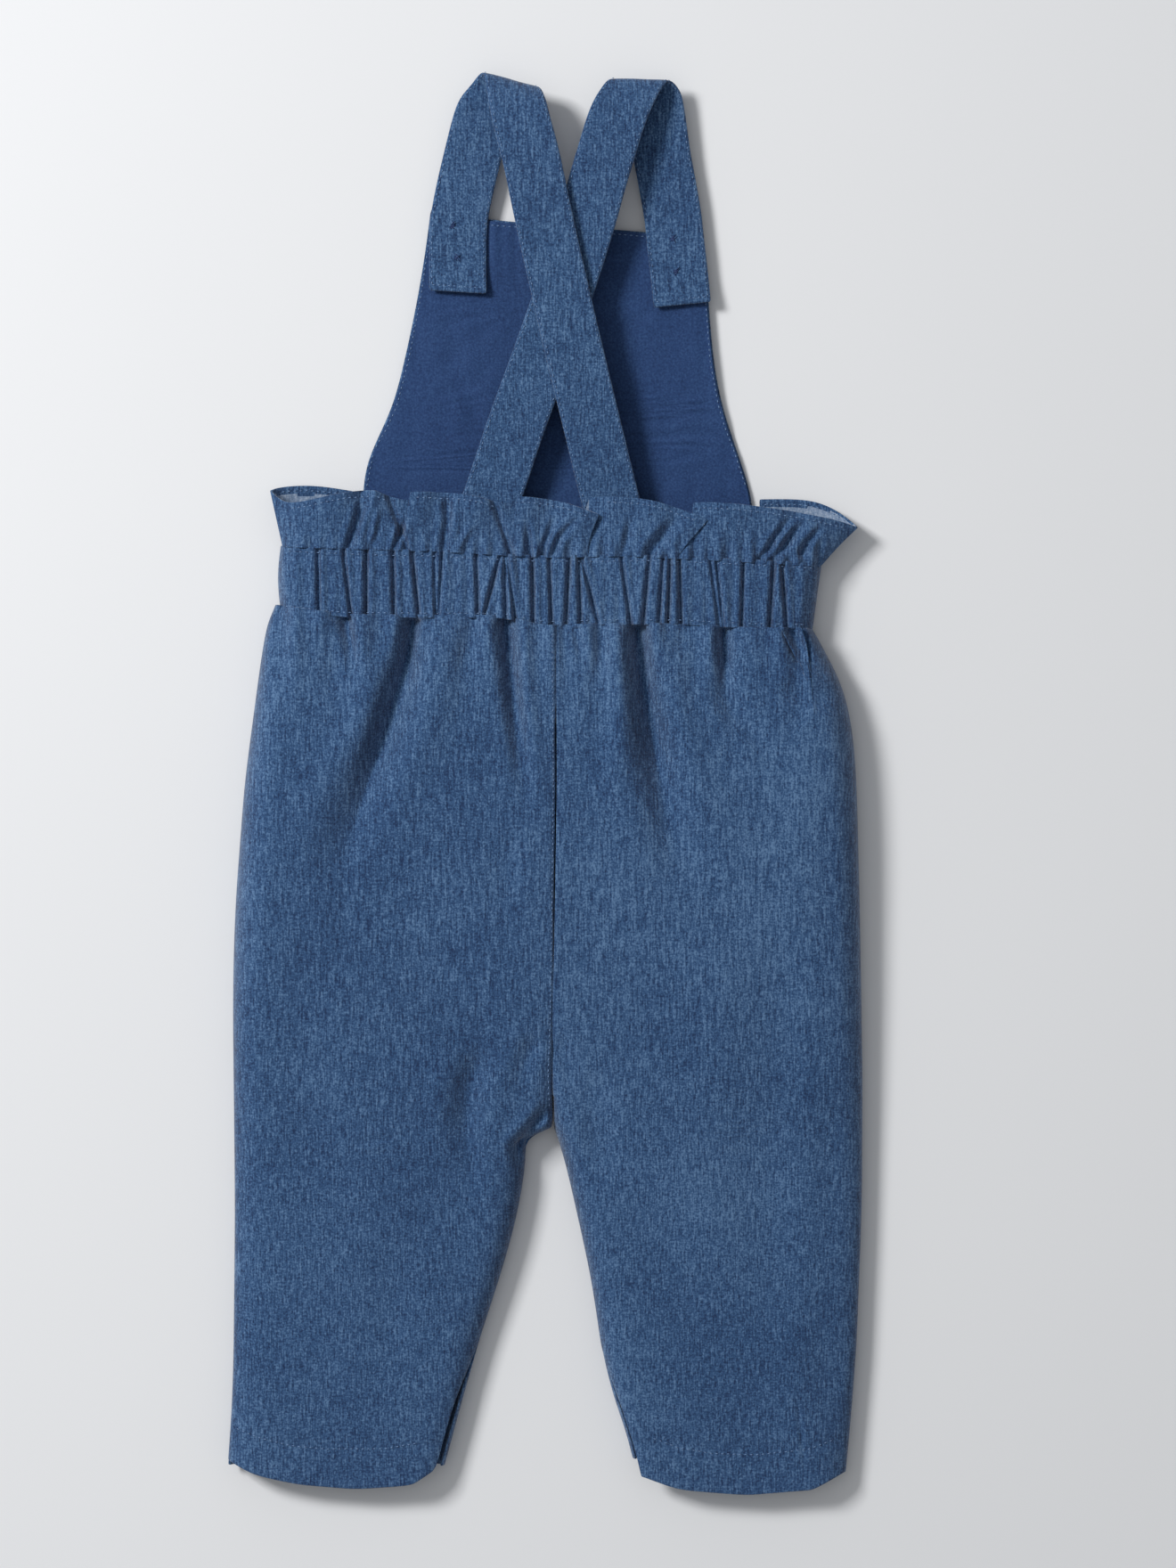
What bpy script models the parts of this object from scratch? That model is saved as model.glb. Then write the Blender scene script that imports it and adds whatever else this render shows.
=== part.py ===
"""Child's dungarees laid flat with the back side up: cloth walls cut as their maker cuts them.

X runs to the right, Y towards the shoulder straps, Z up from the table. Tables are in
millimetres, and every mesh is built in metres.
"""
import math

import bpy
import bmesh
from mathutils import Vector

MM = 0.001

# Walls and gaps
CLOTH = 1.2          # leg panels, one layer with its turnings
CASING = 2.2         # waistband: two layers with elastic between
FRILL_CLOTH = 1.0
BIB_CLOTH = 1.0
STRAP_CLOTH = 1.5    # two layers, edge-stitched
STRAP_WIDTH = 26.0
SEAM_GAP = 0.3
BAND_GAP = 0.8       # along the casing, whose edge steps from pleat to pleat

# Heights above the table
SIDE_Z = 7.0         # where a tube of cloth is widest
WAIST_Z = 19.0
FRONT_CASING = 1.8

# Rounded side folds: how far in from the outline the cloth turns flat
OUTER_TURN = 15.0
INNER_TURN = 12.0
UNDER_TURN = 9.0

CROTCH_Y = -155.0
VALLEY_Y = -80.0     # the seat starts to dip towards the crotch here
INSEAM_ROLL_Y = -248.0
INSEAM_ROLL = 48.0   # degrees that the inseam has rolled onto the top side at the hems

# Height of the back of the tube: y, z
TUBE_TOP = [(75, 19.5), (50, 22.5), (20, 24.5), (-20, 25), (-80, 23), (-130, 20), (-180, 17.5),
            (-240, 16.5), (-290, 15), (-320, 14)]

# Side outlines: y, x
LEFT_OUTER = [(80, -120), (70, -121.3), (66, -124), (61, -126), (50, -128), (30, -131.2), (0, -135.3), (-30, -137.4),
              (-60, -140), (-100, -140.5), (-190, -139.5), (-268, -140.3), (-290, -141.6),
              (-304, -142.6), (-320, -143)]
LEFT_INNER = [(80, 4.8), (0, 5.3), (-80, 4), (-117, 2.8), (-150, 3.6), (-155, 3.2), (-157, -6),
              (-159, -8.8), (-180, -8.8), (-200, -13.9), (-220, -19.6), (-240, -26.9),
              (-260, -32.8), (-280, -38.4), (-308, -46.1), (-320, -49.5)]
RIGHT_OUTER = [(75, 119), (70, 119.8), (66, 122.5), (60, 125.5), (50, 131.2), (40, 135.8), (30, 137.9),
               (0, 140), (-60, 141.5), (-130, 142.6), (-190, 142.4), (-250, 140), (-280, 137.5),
               (-300, 135.5), (-320, 133.5)]
RIGHT_INNER = [(80, 5.1), (0, 5.6), (-80, 4.3), (-117, 3.1), (-150, 3.9), (-155, 3.5), (-160, 5.8),
               (-180, 11.9), (-200, 15.5), (-225, 21.3), (-250, 24.8), (-270, 28), (-290, 35.7),
               (-303, 38.7), (-320, 44)]

# Seam lines across: x, y
BAND_BOTTOM = [(-126, 78.8), (-110, 77.3), (-90, 75.2), (-50, 75), (-20, 75), (0, 71), (26, 72),
               (60, 72), (90, 70.3), (126, 70)]
BAND_TOP = [(-126, 106.5), (-112, 105), (-50, 103.4), (0, 101), (36, 101.6), (86, 99.6),
            (126, 97.6)]
LEFT_HEM = [(-142.6, -304), (-130, -310.5), (-110, -314.5), (-85, -316.6), (-60, -314.8),
            (-49, -307.7), (-35, -306)]
RIGHT_HEM = [(36, -309), (46, -311.8), (60, -316.8), (90, -319.3), (120, -316.8), (134, -309.5)]
FRONT_HEM = {"left": -306.5, "right": -303.4}

# Rows of a leg panel down its length, as y at the outline
PANEL_ROWS = [70, 66, 61, 45, 25, 0, -25, -50, -80, -105, -122, -134, -143, -149.5, -154.6, -160, -172,
              -195, -222, -247, -254, -275, -292, -304]

# Largest folds of the back panels: path as (y, x), depth in mm, half width in mm
FOLDS = {
    "left": [
        {"path": [(75, -89.5), (54, -86), (20, -88), (-60, -104), (-320, -110)],
         "depth": [(75, 2.5), (60, 2.5), (35, 0)], "half_width": 5.0},
        {"path": [(75, -57.5), (58, -60.6), (30, -68.6), (4, -77.9), (-28, -88), (-90, -92),
                  (-155, -82), (-320, -92)],
         "depth": [(75, 3.5), (40, 5.5), (0, 4), (-50, 1), (-90, 0)], "half_width": 7.0},
        {"path": [(75, -18.3), (33, -13.5), (-8, -14), (-120, -30), (-155, -35), (-180, -31),
                  (-320, -70)],
         "depth": [(75, 3), (33, 3.5), (-16, 0), (-100, 0), (-140, 3), (-200, 0)],
         "half_width": 6.0},
    ],
    "right": [
        {"path": [(75, 108), (60, 112), (30, 116), (-60, 118), (-320, 112)],
         "depth": [(75, 3), (54, 2.5), (25, 0)], "half_width": 5.0},
        {"path": [(75, 79.7), (45, 81.1), (10, 86), (-60, 88), (-155, 86), (-320, 90)],
         "depth": [(75, 3.5), (55, 3.5), (30, 1.5), (0, 0)], "half_width": 5.0},
        {"path": [(75, 41), (53, 43.5), (20, 48.6), (-5, 52.9), (-34, 57), (-60, 58), (-155, 48),
                  (-320, 68)],
         "depth": [(75, 4), (40, 5.5), (0, 4), (-48, 0)], "half_width": 7.0},
    ],
}

# Pressed pleats of the gathered casing: x at the top and at the bottom seam
BAND_PLEATS = [(-101.7, -101), (-90, -86.3), (-80, -80), (-68, -67.4), (-59.3, -56), (-48, -48.4),
               (-30.8, -29.9), (-20, -25.5), (-12, -11), (-5.6, -5.1), (2, 3), (10.2, 10),
               (18, 21), (34.2, 38.3), (46.9, 43.9), (55, 53), (61, 61), (74, 78), (89, 88),
               (102.6, 100.6), (110, 108.5)]
PLEAT_DEPTH = 1.2

# Free edge of the back frill, from the left tip to the right tip
# seam x, edge x, edge y, edge z
BACK_FRILL = [
    (-117.6, -123.2, 131.2, 12.0), (-115.5, -119, 127, 14.0), (-111, -114, 125.2, 17.0),
    (-106, -106.5, 126.3, 19.5), (-99, -98, 128.3, 21.5), (-92, -88.5, 130.2, 21.5),
    (-86, -82, 131, 16.2), (-80, -76, 131, 20.5), (-74, -70.5, 128.6, 17.5),
    (-69.5, -63, 126.4, 16.0), (-66.5, -54.5, 127, 16.2), (-64.5, -60, 130.2, 20.5),
    (-58, -54, 130.4, 22.0), (-50, -46, 129.9, 17.0), (-43, -38, 129.6, 20.0),
    (-35, -29, 128, 22.0), (-27.5, -20, 125.2, 18.0), (-23.5, -13.5, 124.6, 16.2),
    (-18, -6, 126, 16.4), (-16.2, -12.1, 128.2, 21.0), (-8, -6, 127.9, 22.0),
    (-1, 2.5, 126.8, 17.5), (6, 11, 125, 21.0), (12.5, 18, 122.2, 22.0),
    (16.5, 24.1, 120.2, 20.5), (19.5, 18.5, 122.5, 16.4), (22, 20, 128.2, 16.2),
    (27, 32, 128.3, 20.0), (34.5, 41, 127.6, 17.5), (41, 50, 126.2, 21.0),
    (48, 60, 122.7, 17.0), (54, 66.5, 120.6, 20.5), (58.5, 72.6, 117.6, 20.0),
    (61.5, 66, 121, 16.2), (64, 66.5, 125.6, 16.4), (71, 76, 125.7, 20.0),
    (80, 86.5, 124.8, 21.5), (88, 96.5, 123.6, 20.0), (94.5, 105, 122.5, 21.0),
    (101, 113, 121.2, 17.0), (108, 119.5, 119.8, 19.5), (114, 127, 118.6, 17.0),
    (119, 134, 116.8, 15.5), (122.8, 140.2, 114.8, 12.0),
]

# Free edge of the front frill at each side of the bib
FRONT_FRILL = {
    "left": [
        (-117.6, -123.2, 131.3, 11.3), (-117.2, -121, 132.6, 7.5), (-113, -115, 133.6, 5.0),
        (-106, -107, 134, 4.0), (-98, -99, 133.4, 3.2), (-90, -91, 132.2, 2.6),
        (-84.5, -84, 131, 2.4),
    ],
    "right": [
        (122.8, 140.2, 114.9, 11.3), (122.2, 136.4, 118.6, 7.5), (118, 130, 123.4, 5.0),
        (112, 122, 126.7, 4.0), (106, 114, 127.8, 3.4), (101, 104.5, 127.9, 2.8),
        (97, 96.4, 127.8, 2.4),
    ],
}

# Bib: y, left x, right x
BIB_SIDES = [(101, -83.5, 96), (131, -82.2, 92.4), (143, -80.8, 88.6), (150, -78.7, 86.4),
             (160, -72.9, 82.4), (170, -68.4, 79.4), (190, -63.4, 75.5), (215, -58, 73.6),
             (240, -53.8, 71.6), (262, -51.2, 69.6)]
BIB_TOP = [(-60, 259), (-51, 258.5), (-26, 253.3), (32, 249.2), (46, 247.9), (75, 246)]
BIB_ROWS = [106, 118, 131, 143, 155, 170, 190, 215, 240]
BIB_COLUMNS = 9
BIB_FOOT_Z = 0.2
BIB_ON_BUTTONS_Z = 2.7

# Centre line of each strap from its end inside the back waist, over the top, to its tab
# x, y, z, degrees that its width turns from X
STRAPS = {
    "strap_right": [
        (35.0, 106, 13.0, 13), (28.9, 129, 13.6, 13), (21.2, 160, 17.0, 13),
        (11.5, 200, 20.4, 13), (6.9, 220, 21.5, 13), (2.3, 240, 22.2, 12.5),
        (-2, 260, 22.6, 12.5), (-6.2, 280, 22.8, 11), (-10.8, 298, 22.0, 6),
        (-13.8, 309, 19.4, -6), (-15.6, 315.2, 14.4, -15), (-20.5, 311.5, 9.0, -12),
        (-27.2, 302, 7.6, -13), (-33.2, 280, 6.8, -12), (-37.7, 260, 6.2, -8),
        (-39.2, 248, 6.2, -4), (-39.3, 234, 6.4, -3.6), (-39.2, 220.9, 8.6, -3.6),
    ],
    "strap_left": [
        (-32.0, 106, 13.0, -18), (-23.3, 130, 13.6, -18.5), (-13.2, 160, 15.6, -19),
        (-2.2, 190, 17.2, -19.5), (8.7, 221, 18.0, -19.5), (18, 250, 18.5, -18),
        (23.6, 270, 18.9, -16.5), (26.6, 280, 19.2, -16), (32.2, 298, 19.0, -13),
        (37.5, 309.5, 17.2, -6), (42.5, 315.7, 13.2, -2), (47.6, 310, 8.6, 6),
        (50.0, 300, 7.6, 11), (52.4, 283, 7.0, 11), (54.8, 270, 6.6, 10),
        (57.2, 256, 6.2, 7.5), (58.8, 242, 6.2, 5.5), (60.4, 228, 6.4, 5.5),
        (61.6, 215.2, 8.0, 6),
    ],
}
STRAP_STATIONS = 46

BUTTONS = {
    "button_left_upper": (-41.4, 251), "button_left_lower": (-39.6, 236.7),
    "button_right_upper": (57.6, 245.2), "button_right_lower": (58.8, 230.4),
}
BUTTON_RADIUS = 6.0
BUTTON_HEIGHT = 2.4
BUTTON_RIM = 1.6
BUTTON_DISH = 0.7


def read(table, key):
    """Straight-line value of a table of (key, value) at key."""
    rows = sorted(table)
    if key <= rows[0][0]:
        return rows[0][1]
    for (k0, v0), (k1, v1) in zip(rows, rows[1:]):
        if key <= k1:
            return v0 + (v1 - v0) * (key - k0) / (k1 - k0)
    return rows[-1][1]


def ease(t):
    t = min(max(t, 0.0), 1.0)
    return t * t * (3 - 2 * t)


def valley(y):
    """1 where the seat is level with the seam, 0 at the crotch and on the legs."""
    if y <= CROTCH_Y:
        return 0.0
    t = min(max((VALLEY_Y - y) / (VALLEY_Y - CROTCH_Y), 0.0), 1.0)
    return math.sqrt(1 - t * t)


def turn_points(edge_x, towards, turn, from_z, to_z, angles):
    """Points of a quarter ellipse that leaves a side edge upright and turns level."""
    points = []
    for angle in angles:
        a = math.radians(angle)
        points.append((edge_x + towards * turn * (1 - math.cos(a)),
                       from_z + (to_z - from_z) * math.sin(a)))
    return points


def inseam_angle(y):
    return INSEAM_ROLL * ease((INSEAM_ROLL_Y - y) / 30.0)


def back_section(side, y):
    """Cross-section of a back panel from its side seam to the centre-back seam or inseam."""
    outer, inner, inwards = ((LEFT_OUTER, LEFT_INNER, 1) if side == "left"
                             else (RIGHT_OUTER, RIGHT_INNER, -1))
    outer_x, inner_x, top = read(outer, y), read(inner, y), read(TUBE_TOP, y)
    half_gap = SEAM_GAP / 2
    points = turn_points(outer_x, inwards, OUTER_TURN, SIDE_Z + half_gap, top,
                         [0, 20, 42, 66, 90])
    for fold in FOLDS[side]:
        x = read(fold["path"], y)
        depth = read(fold["depth"], y)
        half = fold["half_width"]
        points += [(x - inwards * half, top), (x, top - depth), (x + inwards * half, top)]
    g = valley(y)
    seam_z = SIDE_Z + half_gap + (top - SIDE_Z) * g
    roll = inseam_angle(y)
    angles = [90, 60 + roll / 3, 30 + roll * 2 / 3, roll]
    inner_turn = turn_points(inner_x, -inwards, INNER_TURN, min(seam_z, top), top, angles)
    if y > CROTCH_Y:
        inner_turn = [(x - inwards * half_gap, z) for x, z in inner_turn]
    return points + inner_turn, g


def front_section(side, y):
    """Cross-section of a front panel, flat on the table between its two turned edges."""
    outer, inner, inwards = ((LEFT_OUTER, LEFT_INNER, 1) if side == "left"
                             else (RIGHT_OUTER, RIGHT_INNER, -1))
    outer_x, inner_x, top = read(outer, y), read(inner, y), read(TUBE_TOP, y)
    half_gap = SEAM_GAP / 2
    points = turn_points(outer_x, inwards, UNDER_TURN, SIDE_Z - half_gap, 0, [0, 30, 60, 90])
    x0 = points[-1][0]
    x1 = inner_x - inwards * UNDER_TURN
    points += [(x0 + (x1 - x0) * t, 0) for t in (1 / 3, 2 / 3)]
    seam_z = (SIDE_Z - half_gap) * (1 - valley(y))
    inner_turn = turn_points(inner_x, -inwards, UNDER_TURN, seam_z, 0, [90, 60, 30, 0])
    if y > CROTCH_Y:
        inner_turn = [(x - inwards * half_gap, z) for x, z in inner_turn]
    roll = inseam_angle(y)
    wrap = turn_points(inner_x, -inwards, INNER_TURN, SIDE_Z, top,
                       [roll * 0.3, roll * 0.6])
    return points + inner_turn, (wrap if roll > 0 else None)


def section_offset(points, wall, start, end):
    """Points moved inwards by wall across the section; start and end are the end normals."""
    moved = []
    last = len(points) - 1
    first_dx = points[1][0] - points[0][0]
    first_dz = points[1][1] - points[0][1]
    side = 1 if -first_dz * start[0] + first_dx * start[1] > 0 else -1
    for i, (x, z) in enumerate(points):
        if i == 0:
            nx, nz = start
        elif i == last:
            nx, nz = end
        else:
            dx = points[i + 1][0] - points[i - 1][0]
            dz = points[i + 1][1] - points[i - 1][1]
            length = math.hypot(dx, dz) or 1.0
            nx, nz = -side * dz / length, side * dx / length
        moved.append((x - nx * wall, z - nz * wall))
    return moved


def wall_object(name, outer, inner, material):
    """One closed wall between two grids of points, given as rows of (x, y, z) in mm."""
    bm = bmesh.new()
    rows, columns = len(outer), len(outer[0])

    def vertices(grid):
        return [[bm.verts.new((x * MM, y * MM, z * MM)) for x, y, z in row] for row in grid]

    top, under = vertices(outer), vertices(inner)
    for r in range(rows - 1):
        for c in range(columns - 1):
            bm.faces.new((top[r][c], top[r][c + 1], top[r + 1][c + 1], top[r + 1][c]))
            bm.faces.new((under[r][c], under[r + 1][c], under[r + 1][c + 1], under[r][c + 1]))
    rim = ([(0, c) for c in range(columns)] + [(r, columns - 1) for r in range(1, rows)]
           + [(rows - 1, c) for c in range(columns - 2, -1, -1)]
           + [(r, 0) for r in range(rows - 2, 0, -1)])
    for (r0, c0), (r1, c1) in zip(rim, rim[1:] + rim[:1]):
        bm.faces.new((top[r0][c0], under[r0][c0], under[r1][c1], top[r1][c1]))
    bmesh.ops.triangulate(bm, faces=bm.faces[:])
    bmesh.ops.recalc_face_normals(bm, faces=bm.faces[:])
    mesh = bpy.data.meshes.new(name)
    bm.to_mesh(mesh)
    bm.free()
    obj = bpy.data.objects.new(name, mesh)
    bpy.context.collection.objects.link(obj)
    mesh.materials.append(material)
    mesh.shade_smooth()
    mesh.set_sharp_from_angle(angle=math.radians(40))
    return obj


def cloth_material(name, colour, roughness, metallic=0.0):
    material = bpy.data.materials.new(name)
    material.use_nodes = True
    shader = material.node_tree.nodes["Principled BSDF"]
    shader.inputs["Base Color"].default_value = (*colour, 1)
    shader.inputs["Roughness"].default_value = roughness
    shader.inputs["Metallic"].default_value = metallic
    return material


def panel_rows(side, hem, top_line):
    """Rows of a leg panel: each gives the outline's y and a function of x for the row's y."""
    first, last = PANEL_ROWS[0], PANEL_ROWS[-1]

    def row_y(y, x):
        up = max(0.0, (y - 25) / (first - 25))
        down = ease((-215 - y) / (-215 - last))
        return y + up * (top_line(x) - first) + down * (hem(x) - last)

    return [(y, row_y) for y in PANEL_ROWS]


def back_leg(side):
    hem_table = LEFT_HEM if side == "left" else RIGHT_HEM
    outwards = -1 if side == "left" else 1
    outer_rows, inner_rows = [], []
    for y, row_y in panel_rows(side, lambda x: read(hem_table, x),
                               lambda x: read(BAND_BOTTOM, x) - BAND_GAP):
        section, g = back_section(side, y)
        end = (-outwards * (1 - g), g)
        length = math.hypot(*end)
        roll = math.radians(inseam_angle(y))
        if roll > 0:
            end = (-outwards * math.cos(roll), math.sin(roll))
            length = 1.0
        inner = section_offset(section, CLOTH, (outwards, 0), (end[0] / length, end[1] / length))
        if y > CROTCH_Y:
            seam_x = section[-1][0]
            inner = [(min(x, seam_x) if side == "left" else max(x, seam_x), z)
                     for x, z in inner]
        outer_rows.append([(x, row_y(y, x), z) for x, z in section])
        inner_rows.append([(x, row_y(y, sx), z) for (x, z), (sx, _) in zip(inner, section)])
    return outer_rows, inner_rows


def front_leg(side):
    outwards = -1 if side == "left" else 1
    outer_rows, inner_rows = [], []
    for y, row_y in panel_rows(side, lambda x: FRONT_HEM[side],
                               lambda x: read(BAND_BOTTOM, x) - BAND_GAP):
        section, wrap = front_section(side, y)
        if wrap is None:
            x, z = section[-1]
            if y > CROTCH_Y:
                section[-1] = (x + outwards * 0.2, z)
                wrap = [(x + outwards * 0.1, z), (x, z)]
            else:
                section[-1] = (x, z - 0.4)
                wrap = [(x, z - 0.2), (x, z)]
        section = section + wrap
        g = valley(y)
        end = (-outwards * (1 - g), -g)
        roll = math.radians(inseam_angle(y))
        if roll > 0:
            end = (-outwards * math.cos(roll), math.sin(roll))
        length = math.hypot(*end)
        inner = section_offset(section, CLOTH, (outwards, 0), (end[0] / length, end[1] / length))
        if y > CROTCH_Y:
            seam_x = section[-1][0]
            inner = [(min(x, seam_x) if side == "left" else max(x, seam_x), z)
                     for x, z in inner]
        outer_rows.append([(x, row_y(y, x), z) for x, z in section])
        inner_rows.append([(x, row_y(y, sx), z) for (x, z), (sx, _) in zip(inner, section)])
    return outer_rows, inner_rows


def waistband_back():
    """The gathered casing: a pressed pleat at each line and a soft ridge between."""
    outer_rows, inner_rows = [], []
    for t in (0.0, 0.5, 1.0):
        left, right = -119.0 - 1.8 * math.sin(t * math.pi), 124.2 - 4.0 * t
        section = turn_points(left, 1, 12, SIDE_Z + SEAM_GAP / 2, WAIST_Z, [0, 25, 50, 74])
        pleats = [top + (bottom - top) * t for top, bottom in BAND_PLEATS]
        for i, x in enumerate(pleats):
            section.append((x, WAIST_Z - PLEAT_DEPTH))
            if i + 1 < len(pleats):
                gap = pleats[i + 1] - x
                section.append((x + gap / 2, WAIST_Z + 0.03 * gap))
        section += turn_points(right, -1, 12, SIDE_Z + SEAM_GAP / 2, WAIST_Z, [74, 50, 25, 0])
        inner = section_offset(section, CASING, (-1, 0), (1, 0))

        def y_at(x):
            top, bottom = read(BAND_TOP, x), read(BAND_BOTTOM, x)
            return top + (bottom - top) * t

        outer_rows.append([(x, y_at(x), z) for x, z in section])
        inner_rows.append([(x, y_at(sx), z) for (x, z), (sx, _) in zip(inner, section)])
    return outer_rows, inner_rows


def waistband_front():
    outer_rows, inner_rows = [], []
    for t in (0.0, 0.5, 1.0):
        left, right = -119.0 - 1.8 * math.sin(t * math.pi), 124.2 - 4.0 * t
        section = turn_points(left, 1, UNDER_TURN, SIDE_Z - SEAM_GAP / 2, 0, [0, 30, 60, 90])
        section += [(left + (right - left) * k, 0) for k in (0.3, 0.5, 0.7)]
        section += turn_points(right, -1, UNDER_TURN, SIDE_Z - SEAM_GAP / 2, 0, [90, 60, 30, 0])
        inner = section_offset(section, FRONT_CASING, (-1, 0), (1, 0))

        def y_at(x):
            top, bottom = read(BAND_TOP, x), read(BAND_BOTTOM, x)
            return top + (bottom - top) * t

        outer_rows.append([(x, y_at(x), z) for x, z in section])
        inner_rows.append([(x, y_at(sx), z) for (x, z), (sx, _) in zip(inner, section)])
    return outer_rows, inner_rows


def grid_walls(middle, wall):
    """The two faces of a wall, half its thickness to each side of a grid of middle points."""
    rows, columns = len(middle), len(middle[0])
    outer, inner = [], []
    for r in range(rows):
        outer_row, inner_row = [], []
        for c in range(columns):
            along = (Vector(middle[r][min(c + 1, columns - 1)])
                     - Vector(middle[r][max(c - 1, 0)]))
            down = Vector(middle[min(r + 1, rows - 1)][c]) - Vector(middle[max(r - 1, 0)][c])
            normal = along.cross(down).normalized() * (wall / 2)
            point = Vector(middle[r][c])
            outer_row.append(tuple(point + normal))
            inner_row.append(tuple(point - normal))
        outer.append(outer_row)
        inner.append(inner_row)
    return outer, inner


def frill(table, seam_z, rows):
    """A gathered strip of cloth from its seam at the casing to its wavy free edge."""
    middle = []
    for r in range(rows):
        t = r / (rows - 1)
        row = []
        for seam_x, edge_x, edge_y, edge_z in table:
            seam_y = read(BAND_TOP, seam_x) + BAND_GAP
            base_z = seam_z(seam_x)
            row.append((seam_x + (edge_x - seam_x) * t, seam_y + (edge_y - seam_y) * t,
                        base_z + (edge_z - base_z) * ease(t)))
        middle.append(row)
    return grid_walls(middle, FRILL_CLOTH)


def back_seam_z(x):
    """Height of the frill's seam along the back casing, which turns down at its ends."""
    left, right = -118.4, 124.0
    inside = min(x - left, right - x) / 12.0
    return SIDE_Z + 1.2 + (WAIST_Z - 1.0 - SIDE_Z - 1.2) * math.sqrt(
        max(0.0, 1 - (1 - min(max(inside, 0.0), 1.0)) ** 2))


def front_seam_z(x):
    left, right = -118.4, 124.0
    inside = min(x - left, right - x) / UNDER_TURN
    level = math.sqrt(max(0.0, 1 - (1 - min(max(inside, 0.0), 1.0)) ** 2))
    return SIDE_Z - 0.4 + (1.0 - SIDE_Z + 0.4) * level


def bib(layer_z, inset):
    """One layer of the bib, raised a little where the buttons lie under it."""
    sides_left = [(y, left) for y, left, _ in BIB_SIDES]
    sides_right = [(y, right) for y, _, right in BIB_SIDES]
    under, over = [], []
    for index, y in enumerate(BIB_ROWS + [BIB_TOP[0][1]]):
        last = index == len(BIB_ROWS)
        left, right = read(sides_left, y) + inset, read(sides_right, y) - inset
        row_under, row_over = [], []
        for c in range(BIB_COLUMNS):
            x = left + (right - left) * c / (BIB_COLUMNS - 1)
            row_y = read(BIB_TOP, x) - inset if last else y
            lift = ease((row_y - 130) / 80)
            z = BIB_FOOT_Z + (BIB_ON_BUTTONS_Z - BIB_FOOT_Z) * lift + layer_z
            row_under.append((x, row_y, z))
            row_over.append((x, row_y, z + BIB_CLOTH))
        under.append(row_under)
        over.append(row_over)
    return over, under


def smooth_path(rows, count):
    """Evenly spread points of a Catmull-Rom curve through the rows."""
    fine = []
    for i in range(len(rows) - 1):
        p0 = rows[max(i - 1, 0)]
        p1, p2 = rows[i], rows[i + 1]
        p3 = rows[min(i + 2, len(rows) - 1)]
        for k in range(12):
            t = k / 12
            fine.append([0.5 * (2 * b + (c - a) * t + (2 * a - 5 * b + 4 * c - d) * t * t
                                + (3 * b - a - 3 * c + d) * t ** 3)
                         for a, b, c, d in zip(p0, p1, p2, p3)])
    fine.append(list(rows[-1]))
    lengths = [0.0]
    for a, b in zip(fine, fine[1:]):
        lengths.append(lengths[-1] + math.dist(a[:3], b[:3]))
    points = []
    for n in range(count):
        goal = lengths[-1] * n / (count - 1)
        i = max(k for k in range(len(fine) - 1) if lengths[k] <= goal + 1e-9)
        t = (goal - lengths[i]) / (lengths[i + 1] - lengths[i])
        points.append([a + (b - a) * t for a, b in zip(fine[i], fine[i + 1])])
    return points


def strap(rows):
    """A flat band of cloth that follows its centre line and turns over at the top."""
    path = smooth_path(rows, STRAP_STATIONS)
    outer, inner = [], []
    for i, (x, y, z, turn) in enumerate(path):
        ahead, behind = path[min(i + 1, len(path) - 1)], path[max(i - 1, 0)]
        along = Vector(ahead[:3]) - Vector(behind[:3])
        across = Vector((math.cos(math.radians(turn)), math.sin(math.radians(turn)), 0))
        normal = across.cross(along).normalized() * (STRAP_CLOTH / 2)
        middle = Vector((x, y, z))
        edges = [middle + across * (STRAP_WIDTH / 2) * k for k in (-1, 1)]
        outer.append([tuple(p + normal) for p in edges])
        inner.append([tuple(p - normal) for p in edges])
    return outer, inner


def button_object(name, centre, material):
    """A dished disc with a raised rim, rim down on the table under the bib."""
    bm = bmesh.new()
    bmesh.ops.create_cone(bm, cap_ends=True, segments=24, radius1=BUTTON_RADIUS * MM,
                          radius2=BUTTON_RADIUS * MM, depth=BUTTON_HEIGHT * MM)
    low = [f for f in bm.faces if f.normal.z < -0.9]
    bmesh.ops.inset_region(bm, faces=low, thickness=BUTTON_RIM * MM)
    for face in [f for f in bm.faces if f.normal.z < -0.9 and len(f.verts) == 24]:
        for vert in face.verts:
            vert.co.z += BUTTON_DISH * MM
    for vert in bm.verts:
        vert.co += Vector((centre[0], centre[1], BUTTON_HEIGHT / 2)) * MM
    bmesh.ops.triangulate(bm, faces=bm.faces[:])
    mesh = bpy.data.meshes.new(name)
    bm.to_mesh(mesh)
    bm.free()
    mesh.materials.append(material)
    obj = bpy.data.objects.new(name, mesh)
    bpy.context.collection.objects.link(obj)
    return obj


def centre_on_origin(objects):
    """Move every mesh so that the box around them all stands centred on the origin."""
    points = [v.co for obj in objects for v in obj.data.vertices]
    middle_x = (min(p.x for p in points) + max(p.x for p in points)) / 2
    middle_y = (min(p.y for p in points) + max(p.y for p in points)) / 2
    low_z = min(p.z for p in points)
    for obj in objects:
        for vert in obj.data.vertices:
            vert.co -= Vector((middle_x, middle_y, low_z))


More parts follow.
